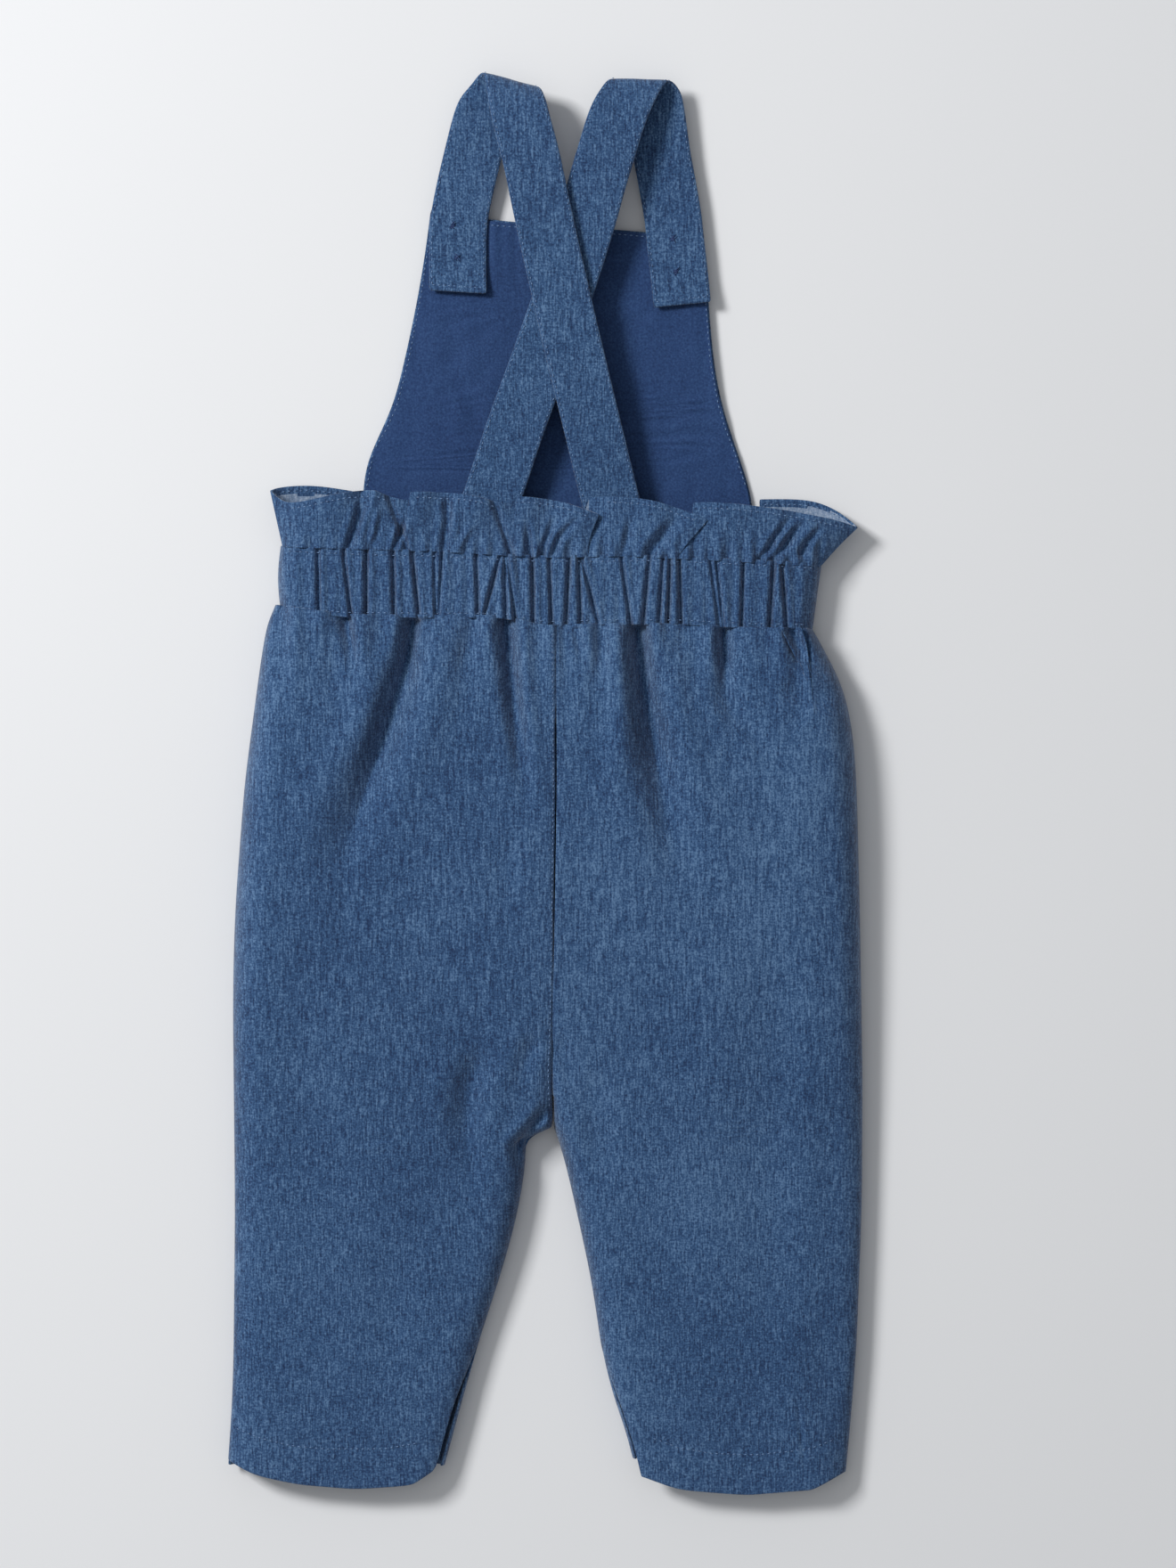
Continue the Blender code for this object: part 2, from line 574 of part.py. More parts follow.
def build():
    for obj in list(bpy.data.objects):
        bpy.data.objects.remove(obj, do_unlink=True)

    chambray = (0.055, 0.12, 0.29)
    voile = (0.03, 0.075, 0.25)
    objects = []

    def add(name, walls, colour):
        objects.append(wall_object(name, *walls, cloth_material(name, colour, 0.9)))

    for side in ("left", "right"):
        add(f"back_leg_{side}", back_leg(side), chambray)
        add(f"front_leg_{side}", front_leg(side), chambray)
        add(f"front_frill_{side}", frill(FRONT_FRILL[side], front_seam_z, 4), chambray)
    add("back_waistband", waistband_back(), chambray)
    add("front_waistband", waistband_front(), chambray)
    add("back_frill", frill(BACK_FRILL, back_seam_z, 4), chambray)
    add("bib_front", bib(0.0, 0.0), chambray)
    add("bib_lining", bib(BIB_CLOTH + SEAM_GAP, 0.8), voile)
    for name, rows in STRAPS.items():
        add(name, strap(rows), chambray)
    for name, centre in BUTTONS.items():
        objects.append(button_object(name, centre, cloth_material(name, (0.06, 0.09, 0.2), 0.4)))
    centre_on_origin(objects)


build()
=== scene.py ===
import math
import random
import bpy
import bmesh
import numpy as np
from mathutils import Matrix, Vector
from mathutils.bvhtree import BVHTree


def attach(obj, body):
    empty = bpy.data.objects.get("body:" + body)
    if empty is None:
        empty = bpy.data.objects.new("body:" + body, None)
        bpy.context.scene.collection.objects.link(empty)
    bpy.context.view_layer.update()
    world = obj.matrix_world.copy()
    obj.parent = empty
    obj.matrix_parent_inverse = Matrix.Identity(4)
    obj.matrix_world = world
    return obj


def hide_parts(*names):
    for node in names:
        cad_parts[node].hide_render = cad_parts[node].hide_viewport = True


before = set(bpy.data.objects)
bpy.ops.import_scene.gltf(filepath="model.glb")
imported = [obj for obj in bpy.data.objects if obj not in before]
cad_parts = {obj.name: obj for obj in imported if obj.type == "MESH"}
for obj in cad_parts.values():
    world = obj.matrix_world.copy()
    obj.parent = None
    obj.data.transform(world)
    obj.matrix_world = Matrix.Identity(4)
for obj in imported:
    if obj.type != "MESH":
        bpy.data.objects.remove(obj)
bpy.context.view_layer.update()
mm = 0.001
random.seed(7)
print("frame loaded")

look = {
    "chambray": {"dark": (0.008, 0.026, 0.080), "mid": (0.027, 0.075, 0.176), "light": (0.098,
                                                                                        0.184,
                                                                                        0.325)},
    "lining": {"dark": (0.008, 0.026, 0.088), "mid": (0.016, 0.046, 0.138), "light": (0.031, 0.076,
                                                                                      0.190)},
    "wrongSide": {"dark": (0.10, 0.16, 0.26), "mid": (0.19, 0.26, 0.38), "light": (0.34, 0.41,
                                                                                   0.52)},
}


# materials

weave = {
    "noises": {
        "slub": {"scale": 60, "detail": 5, "stretch": (22, 2.2, 1)},
        "weft": {"scale": 60, "detail": 4, "stretch": (5, 26, 1), "turn": 0.03},
        "grain": {"scale": 1100, "detail": 3},
        "cloud": {"scale": 14, "detail": 3},
        "fineWarp": {"scale": 120, "detail": 4, "stretch": (24, 4, 1)},
    },
    "streakShares": {"slub": 1.7, "fineWarp": 1.1, "weft": 0.7}, "cloudShare": 0.35,
    "darkAt": 0.22, "midAt": 0.5, "lightAt": 0.80,
    "twillScale": 330, "twillDistortion": 3, "twillDetail": 2,
    "twillRise": 0.5, "slubRise": 1.2, "bumpStrength": 0.55,
    "sheenRoughness": 0.5, "specular": 0.22,
}


def clothMaterial(name, tone, streak, bumpHeight, rough=0.88, sheen=0.25):
    mat = bpy.data.materials.new(name)
    mat.use_nodes = True
    tree = mat.node_tree
    bsdf = tree.nodes["Principled BSDF"]
    bsdf.inputs["Roughness"].default_value = rough
    bsdf.inputs["Sheen Weight"].default_value = sheen
    bsdf.inputs["Sheen Roughness"].default_value = weave["sheenRoughness"]
    bsdf.inputs["Specular IOR Level"].default_value = weave["specular"]
    coord = tree.nodes.new("ShaderNodeTexCoord")

    def noise(scale, detail, stretch=(1, 1, 1), turn=0.0):
        mapping = tree.nodes.new("ShaderNodeMapping")
        mapping.inputs["Scale"].default_value = stretch
        mapping.inputs["Rotation"].default_value = (0, 0, turn)
        tree.links.new(coord.outputs["Object"], mapping.inputs["Vector"])
        node = tree.nodes.new("ShaderNodeTexNoise")
        node.inputs["Scale"].default_value = scale
        node.inputs["Detail"].default_value = detail
        tree.links.new(mapping.outputs["Vector"], node.inputs["Vector"])
        return node.outputs["Fac"]

    def mixed(a, b, weight):  # a + (b - 0.5) * weight
        node = tree.nodes.new("ShaderNodeMath")
        node.operation = "MULTIPLY_ADD"
        tree.links.new(b, node.inputs[0])
        node.inputs[1].default_value = weight
        tree.links.new(a, node.inputs[2])
        back = tree.nodes.new("ShaderNodeMath")
        back.operation = "SUBTRACT"
        tree.links.new(node.outputs[0], back.inputs[0])
        back.inputs[1].default_value = weight / 2
        return back.outputs[0]

    made = {key: noise(**row) for key, row in weave["noises"].items()}
    value = made["grain"]
    for key, share in weave["streakShares"].items():
        value = mixed(value, made[key], streak * share)
    value = mixed(value, made["cloud"], weave["cloudShare"])
    ramp = tree.nodes.new("ShaderNodeValToRGB")
    ramp.color_ramp.elements[0].position = weave["darkAt"]
    ramp.color_ramp.elements[0].color = (*tone["dark"], 1)
    ramp.color_ramp.elements[1].position = weave["lightAt"]
    ramp.color_ramp.elements[1].color = (*tone["light"], 1)
    middle = ramp.color_ramp.elements.new(weave["midAt"])
    middle.color = (*tone["mid"], 1)
    tree.links.new(value, ramp.inputs["Fac"])
    tree.links.new(ramp.outputs["Color"], bsdf.inputs["Base Color"])
    twill = tree.nodes.new("ShaderNodeTexWave")
    twill.bands_direction = "DIAGONAL"
    twill.inputs["Scale"].default_value = weave["twillScale"]
    twill.inputs["Distortion"].default_value = weave["twillDistortion"]
    twill.inputs["Detail"].default_value = weave["twillDetail"]
    tree.links.new(coord.outputs["Object"], twill.inputs["Vector"])
    height = mixed(made["grain"], twill.outputs["Fac"], weave["twillRise"])
    height = mixed(height, made["slub"], weave["slubRise"])
    bump = tree.nodes.new("ShaderNodeBump")
    bump.inputs["Strength"].default_value = weave["bumpStrength"]
    bump.inputs["Distance"].default_value = bumpHeight
    tree.links.new(height, bump.inputs["Height"])
    tree.links.new(bump.outputs["Normal"], bsdf.inputs["Normal"])
    return mat


def plainMaterial(name, dark, light, rough, scale):
    mat = bpy.data.materials.new(name)
    mat.use_nodes = True
    tree = mat.node_tree
    bsdf = tree.nodes["Principled BSDF"]
    bsdf.inputs["Roughness"].default_value = rough
    coord = tree.nodes.new("ShaderNodeTexCoord")
    noise = tree.nodes.new("ShaderNodeTexNoise")
    noise.inputs["Scale"].default_value = scale
    noise.inputs["Detail"].default_value = 3
    ramp = tree.nodes.new("ShaderNodeValToRGB")
    ramp.color_ramp.elements[0].color = (*dark, 1)
    ramp.color_ramp.elements[1].color = (*light, 1)
    tree.links.new(coord.outputs["Object"], noise.inputs["Vector"])
    tree.links.new(noise.outputs["Fac"], ramp.inputs["Fac"])
    tree.links.new(ramp.outputs["Color"], bsdf.inputs["Base Color"])
    return mat


chambray = clothMaterial("chambray", look["chambray"], 0.55, 0.00035)
lining = clothMaterial("voile", look["lining"], 0.16, 0.00012, 0.8, 0.12)
wrongSide = clothMaterial("wrongSide", look["wrongSide"], 0.5, 0.0003)
threadMat = plainMaterial("thread", (0.09, 0.17, 0.33), (0.20, 0.31, 0.50), 0.6, 900)
buttonMat = plainMaterial("buttonBlue", (0.02, 0.04, 0.11), (0.04, 0.07, 0.17), 0.35, 300)
print("materials made")


# cloth shells on the solids' form

creaseRule = {"start": 0.15, "end": 0.5, "bank": 0.3, "bankAt": 2}


def creaseHeight(points, creases):
    # height in mm that the soft troughs (depth > 0) and ridges (depth < 0) add
    total = np.zeros(len(points))
    for crease in creases:
        route = np.array(crease["route"], float)
        best = np.full(len(points), 1e9)
        where = np.zeros(len(points))
        spans = len(route) - 1
        for i in range(spans):
            a, b = route[i], route[i + 1]
            t = np.clip(((points - a) @ (b - a)) / ((b - a) @ (b - a)), 0, 1)
            d = np.linalg.norm(points - (a + t[:, None] * (b - a)), axis=1)
            closer = d < best
            best[closer] = d[closer]
            where[closer] = (i + t[closer]) / spans
        width = crease["width"] * (1 + crease.get("flare", 0.0) * where)
        start = crease.get("start", creaseRule["start"])
        ends = np.clip(where / start, 0, 1) if start > 0 else 1.0
        fade = ends * np.clip((1 - where) / crease.get("end", creaseRule["end"]), 0, 1)
        total -= crease["depth"] * fade * np.exp(-(best / width) ** 2)
        bank = np.exp(-((best - creaseRule["bankAt"] * width) / width) ** 2)
        total += creaseRule["bank"] * crease["depth"] * fade * bank
    return total


def shellFrom(name, node, levels, material, sharp=50):
    # a finer copy of a node's wall, its rim kept crisp
    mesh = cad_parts[node].data.copy()
    mesh.name = name
    bm = bmesh.new()
    bm.from_mesh(mesh)
    bmesh.ops.remove_doubles(bm, verts=bm.verts[:], dist=0.00001)
    bmesh.ops.join_triangles(bm, faces=bm.faces[:], angle_face_threshold=math.radians(60),
                             angle_shape_threshold=math.radians(80))
    crease = bm.edges.layers.float.new("crease_edge")
    for edge in bm.edges:
        if len(edge.link_faces) == 2 and edge.calc_face_angle() > math.radians(sharp):
            edge[crease] = 0.9
        edge.smooth = True
    for face in bm.faces:
        face.smooth = True
    bm.to_mesh(mesh)
    bm.free()
    mesh.materials.clear()
    mesh.materials.append(material)
    piece = bpy.data.objects.new(name, mesh)
    bpy.context.collection.objects.link(piece)
    bpy.ops.object.select_all(action="DESELECT")
    bpy.context.view_layer.objects.active = piece
    piece.select_set(True)
    subdivide = piece.modifiers.new("fine", "SUBSURF")
    subdivide.levels = subdivide.render_levels = levels
    bpy.ops.object.modifier_apply(modifier="fine")
    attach(piece, "root")
    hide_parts(node)
    return piece


def shapeTop(piece, creases, lowZ, highZ, ripple=None):
    # lay creases into the upper cloth only, fading out round the side folds
    count = len(piece.data.vertices)
    co = np.empty(count * 3)
    piece.data.vertices.foreach_get("co", co)
    co = co.reshape(-1, 3)
    points = co[:, :2] / mm
    added = creaseHeight(points, creases)
    if ripple:
        added = added + ripple(points[:, 0], points[:, 1])
    mask = np.clip((co[:, 2] / mm - lowZ) / (highZ - lowZ), 0, 1)
    co[:, 2] += added * mask * mm
    co[:, 2] = np.maximum(co[:, 2], 0.00001)
    piece.data.vertices.foreach_set("co", co.ravel())
    piece.data.update()


def closeSeams(piece, move):
    # push a cloth's seam edges towards their neighbours; move gives new x, y, z in mm
    for vert in piece.data.vertices:
        vert.co = Vector(move(*(vert.co / mm))) * mm


backSeam = {"x": 4.6, "lean": 0.012, "crotchY": -150, "closeAbove": -140, "reach": 1.6,
            "shift": 0.45}
underCasing = {"fromY": 62, "over": 16, "up": 2.6, "down": 0.9, "topZ": 12}


# the panel's top runs in under the casing, its inner edge to the seam
def legToCasing(x, y, z):
    rise = min(max((y - underCasing["fromY"]) / underCasing["over"], 0), 1) ** 3
    y += underCasing["up"] * rise
    z -= underCasing["down"] * rise if z > underCasing["topZ"] else 0
    gap = backSeam["x"] - backSeam["lean"] * max(-y, 0) * (y > backSeam["crotchY"]) - x
    if abs(gap) < backSeam["reach"] and y > backSeam["closeAbove"]:
        x += backSeam["shift"] * (1 if gap > 0 else -1)
    return x, y, z


def casingEdges(x, y, z):
    middle = 89.5 - 0.028 * x
    return x, middle + (y - middle) * 1.07, z


def frillFoot(x, y, z):
    foot = min(max((112 - y) / 12, 0), 1) ** 2
    return x, y - 1.6 * foot, z


def soft(x, y):  # slow unevenness of lying cloth
    return (0.5 * np.sin(x / 17 + 0.9 * np.sin(y / 41)) * np.sin(y / 63 + x / 90)
            + 0.25 * np.sin(x / 7.3 + y / 37) * np.sin(y / 29 - 1.1))


def seamTroughs(x, y):  # the centre-back seam and the hem's stitched turning
    off = x - backSeam["x"] + backSeam["lean"] * np.maximum(-y, 0)
    seam = -0.7 * np.exp(-(off / 0.9) ** 2) * (y > backSeam["crotchY"])
    hemLine = -298.5 + 0.0016 * (np.abs(x) - 86) ** 2
    return seam - 0.45 * np.exp(-((y - hemLine) / 1.1) ** 2)


def gathers(x, y):  # small gathers that hang from the casing and die out
    fall = np.clip((y - 18) / 52, 0, 1) ** 1.6
    return fall * (1.1 * np.sin(x / 2.3 + 0.9 * np.sin(x / 9)) + 0.9 * np.sin(x / 4.1 + 2))


legCreases = {
    "left": [
        {"route": [(-57.8, 74), (-60.6, 58), (-66, 37), (-72, 18), (-80, -1), (-91, -28), (-97,
                                                                                           -50)],
         "depth": 5.6, "width": 4.0, "flare": 1.5, "start": 0.02},
        {"route": [(-18.1, 74), (-15, 45), (-11, 15), (-7, -16)], "depth": 3.6, "width": 3.4,
         "start": 0.02},
        {"route": [(-31, 74), (-34, 60), (-38, 47)], "depth": 2.2, "width": 2.4, "start": 0.02},
        {"route": [(-89.4, 74), (-87, 61), (-85, 46)], "depth": 2.8, "width": 2.6, "start": 0.02},
        {"route": [(-51.9, 74), (-55, 50)], "depth": 2, "width": 2, "start": 0.02},
        {"route": [(-101, 72), (-97, 50), (-99, 30)], "depth": 1.6, "width": 6},
        {"route": [(-44, 74), (-46, 40), (-52, 5)], "depth": -1.8, "width": 5},
        {"route": [(-17, -22), (-18, -66)], "depth": 1.0, "width": 5},
        {"route": [(-29.8, -118), (-35.4, -140), (-35.4, -158), (-30, -182)], "depth": 2.6,
         "width": 6},
        {"route": [(-4, -112), (-9.6, -126), (-12, -141)], "depth": 1.5, "width": 4},
        {"route": [(2, -144), (-7, -156), (-13, -163), (-10, -174)], "depth": 3.2, "width": 2.6},
        {"route": [(-79, -148), (-72, -170)], "depth": 0.8, "width": 1.2},
        {"route": [(-110, -60), (-104, -150), (-108, -240)], "depth": 0.9, "width": 12},
        {"route": [(-66, -200), (-74, -290)], "depth": 0.8, "width": 9},
    ],
    "right": [
        {"route": [(41.4, 72), (43.5, 53), (47, 30), (51, 6), (57, -19), (69, -50)],
         "depth": 6.0, "width": 4.0, "flare": 1.4, "start": 0.02},
        {"route": [(24.8, 72), (25.5, 58), (24, 44)], "depth": 2.6, "width": 2.4, "start": 0.02},
        {"route": [(61.5, 72), (60.5, 55)], "depth": 1.8, "width": 2, "start": 0.02},
        {"route": [(79.7, 70), (80.4, 56), (81, 38)], "depth": 3.6, "width": 3.2, "start": 0.02},
        {"route": [(73, 47), (87, 30), (99, 15), (113, 0)], "depth": 1.4, "width": 4},
        {"route": [(109, 70), (115, 60), (120, 50)], "depth": 3, "width": 3, "start": 0.02},
        {"route": [(102, 43), (122, 38), (134, 38)], "depth": 1.4, "width": 4},
        {"route": [(14, 70), (17, 52)], "depth": 2, "width": 2, "start": 0.02},
        {"route": [(33, 70), (34, 30), (30, -10)], "depth": -1.6, "width": 5},
        {"route": [(70, 48), (74, 35), (83, 18)], "depth": -0.6, "width": 0.9},
        {"route": [(98, 10), (108, -8)], "depth": -0.5, "width": 0.9},
        {"route": [(5, -112), (11, -132), (14, -150)], "depth": 1.4, "width": 4},
        {"route": [(18.8, -128), (24, -158), (25, -185)], "depth": 1.6, "width": 6},
        {"route": [(85, -125), (88, -195)], "depth": -0.5, "width": 1.1},
        {"route": [(113, -276), (117, -312)], "depth": 0.5, "width": 1.1},
        {"route": [(108, -60), (98, -160), (106, -250)], "depth": 1.4, "width": 12},
        {"route": [(128, 30), (131, -60), (130, -180), (126, -300)], "depth": 1.2, "width": 9,
         "end": 0.1},
    ],
}

bandPleats = [(-101.7, -101), (-90, -86.3), (-80, -80), (-68, -67.4), (-59.3, -56), (-49.4, -49),
              (-46.2, -47.8), (-30.8, -29.9), (-20, -28.4), (-18.2, -17.3), (-16.8, -13.1), (-5.6,
                                                                                             -5.1),
              (1.9, 3), (10.9, 9.4), (15, 16), (16, 24), (34.2, 38.3), (46.9, 43.9), (53, 51), (56,
                                                                                                55),
              (60, 61), (73.8, 77.8), (76.3, 79.8), (89, 88), (102.6, 100.6), (105.7, 108.2)]

frillCreases = [
    {"route": [(-89, 104), (-85, 114), (-81, 127)], "depth": 2.6, "width": 1.8, "start": 0,
     "end": 0.2},
    {"route": [(-68, 104), (-62.5, 119)], "depth": 2.4, "width": 1.3, "start": 0, "end": 0.3},
    {"route": [(-45.7, 104), (-43.4, 118), (-44, 129)], "depth": 2.2, "width": 1.8, "start": 0,
     "end": 0.2},
    {"route": [(-6.5, 102), (-8.4, 119)], "depth": 1.8, "width": 1.4, "start": 0},
    {"route": [(-1.5, 102), (4.5, 120)], "depth": 2.2, "width": 1.4, "start": 0},
    {"route": [(1.3, 101), (6.4, 110), (15.5, 120)], "depth": 2.0, "width": 1.5, "start": 0},
    {"route": [(34.8, 102), (38.8, 120)], "depth": 2.0, "width": 1.7, "start": 0},
    {"route": [(45.9, 102), (52, 110), (60, 120)], "depth": 2.8, "width": 2.4, "start": 0},
    {"route": [(95.5, 100), (101, 107), (109.7, 119)], "depth": 2.2, "width": 1.4, "start": 0,
     "end": 0.3},
    {"route": [(100.6, 99), (108, 108), (117, 118)], "depth": 2.6, "width": 1.7, "start": 0,
     "end": 0.3},
    {"route": [(114.8, 104), (124, 116)], "depth": 1.8, "width": 1.4, "start": 0},
    {"route": [(-77.9, 108), (-74.6, 124)], "depth": -1.4, "width": 1.2},
    {"route": [(-38.7, 105), (-32.7, 117)], "depth": -1.2, "width": 1.4},
]

liningCreases = [
    {"route": [(-41, 214), (-40, 185), (-33, 170), (-32, 146)], "depth": 0.9, "width": 3},
    {"route": [(-67, 158), (-67, 138)], "depth": 0.5, "width": 1},
    {"route": [(73.6, 180), (73.2, 157), (70, 128)], "depth": 0.8, "width": 1.4, "end": 0.1},
    {"route": [(55, 173), (53.6, 152), (52, 128)], "depth": 0.7, "width": 1.4, "end": 0.1},
    {"route": [(64, 178), (63, 150), (61, 128)], "depth": 0.6, "width": 1.1, "end": 0.1},
    {"route": [(-77, 148), (-74, 132)], "depth": 0.7, "width": 2},
]


pleat = {"depth": 2.1, "width": 0.8, "bank": 0.7, "bankAt": 2.2, "bankWidth": 1.4}


def bandRipple(x, y):
    t = np.clip((101.5 - y) / 29, 0, 1)
    total = np.zeros(len(x))
    for top, bottom in bandPleats:
        d = np.abs(x - (top + (bottom - top) * t))
        total -= pleat["depth"] * np.exp(-(d / pleat["width"]) ** 2)
        total += pleat["bank"] * np.exp(-((d - pleat["bankAt"]) / pleat["bankWidth"]) ** 2)
    return total + 0.2 * np.sin(x / 0.9 + np.sin(y / 8)) - 0.9 * np.exp(-((t - 0.02) / 0.06) ** 2)


def frillRipple(x, y):
    near = np.clip((116 - y) / 14, 0, 1) ** 1.5
    lap = sum(-2.2 * np.exp(-((x - at + 0.35 * (y - 118)) / 1.5) ** 2) for at in (-66, -20))
    return near * (1.0 * np.sin(x / 1.1 + 0.6 * np.sin(x / 5)) + 0.7 * np.sin(x / 2.3)) + lap


def crinkle(x, y):
    return (0.22 * np.sin(x / 0.9 + 1.3 * np.sin(y / 31) + np.sin(x / 6))
            + 0.2 * np.sin(x / 2.3 + 1.7 * np.sin(y / 47))) * np.clip((x + 90) / 40, 0.4, 1)


sheets = {}
for side in ("left", "right"):
    sheets["back_" + side] = shellFrom("backPanel_" + side, "back_leg_" + side, 3, chambray)
    shapeTop(sheets["back_" + side], legCreases[side], 9, 14, lambda x, y: soft(x, y) + gathers(x,
                                                                                                y) + seamTroughs(x, y))
    closeSeams(sheets["back_" + side], legToCasing)
    sheets["front_" + side] = shellFrom("frontPanel_" + side, "front_leg_" + side, 2, chambray)
    sheets["frontFrill_" + side] = shellFrom("frontFrill_" + side, "front_frill_" + side, 3,
                                             chambray)
print("leg panels done")
sheets["band"] = shellFrom("backCasing", "back_waistband", 4, chambray)
shapeTop(sheets["band"], [], 13, 15.5, bandRipple)
closeSeams(sheets["band"], casingEdges)
sheets["frontBand"] = shellFrom("frontCasing", "front_waistband", 2, chambray)
sheets["frill"] = shellFrom("backFrill", "back_frill", 4, chambray)
shapeTop(sheets["frill"], frillCreases, 14, 17, frillRipple)
closeSeams(sheets["frill"], frillFoot)
sheets["bib"] = shellFrom("bibOuter", "bib_front", 3, chambray)
sheets["lining"] = shellFrom("bibLining", "bib_lining", 5, lining)
shapeTop(sheets["lining"], liningCreases, 0.5, 1.5, crinkle)
print("waist and bib done")

# wrong side of the cloth shows inside the frill
for key in ("frontFrill_left", "frontFrill_right", "frill"):
    mesh = sheets[key].data
    mesh.materials.append(wrongSide)
    for face in mesh.polygons:
        x, y, z = face.center / mm
        inner = face.normal.z < -0.2 if key == "frill" else face.normal.z > 0.1 and y < 130
        if key == "frontFrill_right":
            inner = face.normal.z > 0.1 and y < 124.5 - 0.02 * max(x - 118, 0) ** 2
        if inner:
            face.material_index = 1


# straps

strapRows = {
    "strap_right": [
        (35.0, 106, 13.0, 13), (28.9, 129, 13.6, 13), (21.2, 160, 17.0, 13), (11.5, 200, 20.4, 13),
        (6.9, 220, 21.5, 13), (2.3, 240, 22.2, 12.5), (-2, 260, 22.6, 12.5), (-6.2, 280, 22.8, 11),
        (-10.6, 297, 22.2, 7), (-13.0, 308, 19.9, -3), (-15.4, 315.4, 14.6, -15),
        (-20.5, 311.5, 9.0, -12), (-27.2, 302, 7.6, -13), (-33.2, 280, 6.8, -12), (-37.7, 260, 6.2,
                                                                                   -8),
        (-39.2, 248, 6.2, -4), (-39.3, 234, 6.4, -3.6), (-39.2, 220.9, 8.6, -3.6)],
    "strap_left": [
        (-32.0, 106, 13.0, -18), (-23.3, 130, 13.6, -18.5), (-13.2, 160, 15.6, -19),
        (-2.2, 190, 17.2, -19.5), (8.7, 221, 18.0, -19.5), (18, 250, 18.5, -18), (23.6, 270, 18.9,
                                                                                  -16.5),
        (26.6, 280, 19.2, -16), (32.2, 298, 19.0, -13), (37.5, 309.5, 17.2, -6), (42.5, 315.7,
                                                                                  13.2, -2),
        (47.6, 310, 8.6, 6), (50.0, 300, 7.6, 11), (52.4, 283, 7.0, 11), (54.8, 270, 6.6, 10),
        (57.2, 256, 6.2, 7.5), (58.8, 242, 6.2, 5.5), (60.4, 228, 6.4, 5.5), (61.6, 215.2, 8.0, 6)],
}
strap = {"width": 26.0, "cloth": 1.5, "stations": 150, "across": 14, "stitchIn": 1.3,
         "stitchStep": 2.6}


def smoothPath(rows, count):
    fine = []
    for i in range(len(rows) - 1):
        p0, p1, p2, p3 = (rows[max(i - 1, 0)], rows[i], rows[i + 1], rows[min(i + 2,
                                                                              len(rows) - 1)])
        for k in range(12):
            t = k / 12
            fine.append([0.5 * (2 * b + (c - a) * t + (2 * a - 5 * b + 4 * c - d) * t * t
                                + (3 * b - a - 3 * c + d) * t ** 3) for a, b, c, d in zip(p0, p1,
                                                                                          p2, p3)])
    fine.append(list(rows[-1]))
    fine = np.array(fine)
    steps = np.linalg.norm(np.diff(fine[:, :3], axis=0), axis=1)
    length = np.concatenate([[0], np.cumsum(steps)])
    goals = np.linspace(0, length[-1], count)
    return np.stack([np.interp(goals, length, fine[:, k]) for k in range(4)], axis=1), length[-1]


def strapPoint(path, i, k):
    # a point of the strap's middle surface and its outward normal; k runs -1 to 1 across
    ahead, behind = path[min(i + 1, len(path) - 1)], path[max(i - 1, 0)]
    along = Vector(ahead[:3]) - Vector(behind[:3])
    turn = math.radians(path[i][3])
    across = Vector((math.cos(turn), math.sin(turn), 0))
    normal = across.cross(along).normalized()
    return Vector(path[i][:3]) + across * (strap["width"] / 2) * k, normal


def addStitch(bm, a, b, normal, width=0.55, height=0.32):
    # one thread stitch: a low diamond bar from a to b, in mm
    along = (b - a).normalized()
    acrossStitch = along.cross(normal).normalized() * (width / 2)
    rise = normal.normalized() * height
    middle = (a + b) / 2
    ring = [middle - acrossStitch, middle + rise, middle + acrossStitch, middle - rise * 0.6]
    verts = [bm.verts.new(p * mm) for p in ring]
    tips = [bm.verts.new(a * mm), bm.verts.new(b * mm)]
    for n in range(4):
        bm.faces.new((verts[n], verts[(n + 1) % 4], tips[1]))
        bm.faces.new((verts[(n + 1) % 4], verts[n], tips[0]))


def finishMesh(name, bm, material, nodes=()):
    bmesh.ops.recalc_face_normals(bm, faces=bm.faces[:])
    for face in bm.faces:
        face.smooth = True
    mesh = bpy.data.meshes.new(name)
    bm.to_mesh(mesh)
    bm.free()
    mesh.materials.append(material)
    piece = bpy.data.objects.new(name, mesh)
    bpy.context.collection.objects.link(piece)
    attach(piece, "root")
    if nodes:
        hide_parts(*nodes)
    return piece


